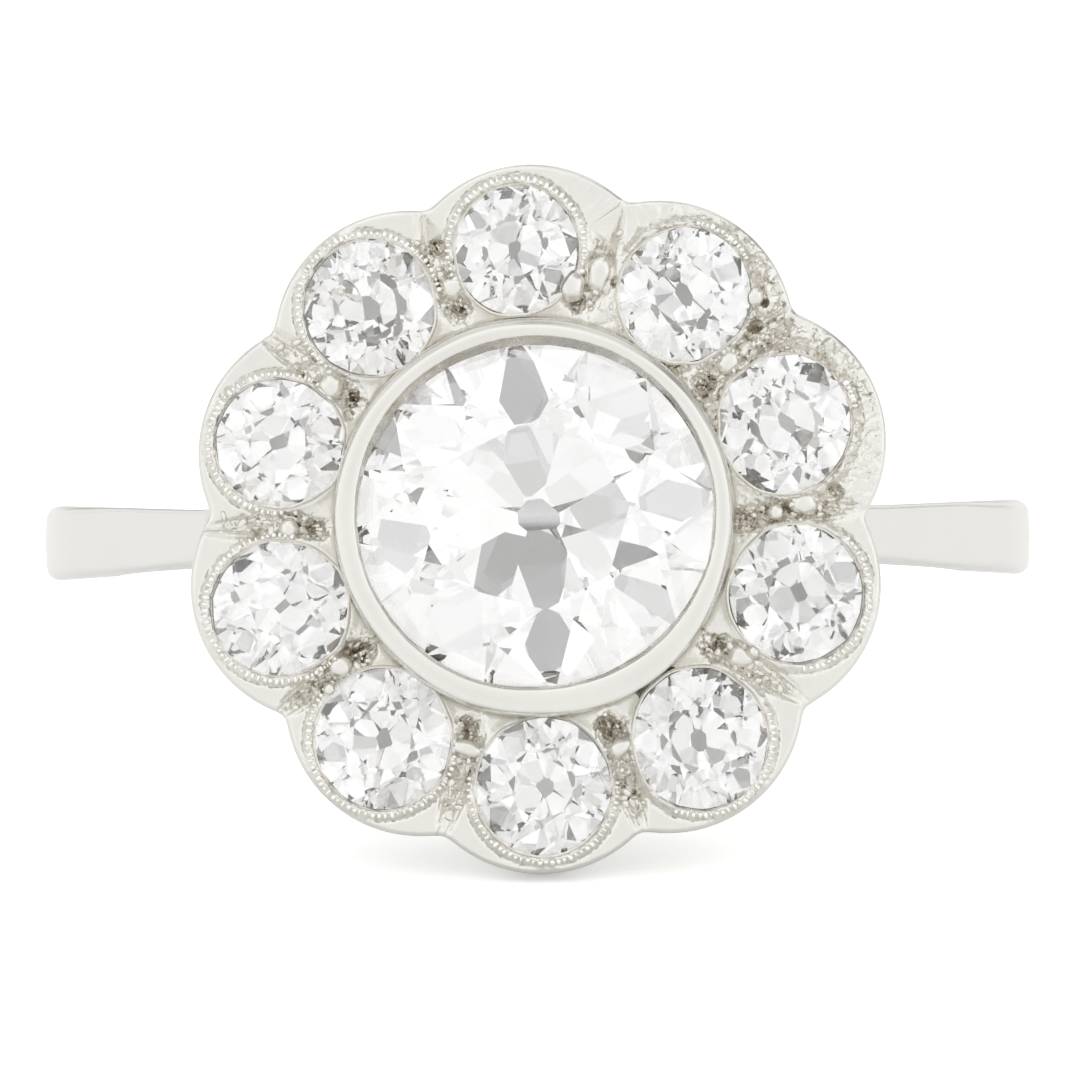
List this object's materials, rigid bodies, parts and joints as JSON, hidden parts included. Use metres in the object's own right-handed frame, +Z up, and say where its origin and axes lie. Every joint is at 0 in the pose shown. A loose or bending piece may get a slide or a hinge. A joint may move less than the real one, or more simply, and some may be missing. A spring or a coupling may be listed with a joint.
{
  "type": "halo ring",
  "caption": "Finger ring with a round old-cut stone in a plain collet, inside a scalloped halo of smaller stones.",
  "frame": {"origin": "on the surface that the ring lies on, under the middle of its box", "axes": "+Z up, -Y the way the head faces, +X to the right when looking at the head"},
  "size_m": [0.0204, 0.0245, 0.0138],
  "materials": {
    "platinum": "worn polished platinum, with dark wear in the hollows",
    "centre_stone": "cut and polished, colourless, high refraction",
    "halo_stone": "cut and polished, colourless, high refraction"
  },
  "bodies": {
    "root": {"ring_mount": "platinum", "centre_stone": "centre_stone", "halo_stone_01": "halo_stone", "halo_stone_02": "halo_stone", "halo_stone_03": "halo_stone", "halo_stone_04": "halo_stone", "halo_stone_05": "halo_stone", "halo_stone_06": "halo_stone", "halo_stone_07": "halo_stone", "halo_stone_08": "halo_stone", "halo_stone_09": "halo_stone", "halo_stone_10": "halo_stone"}
  },
  "joints": []
}
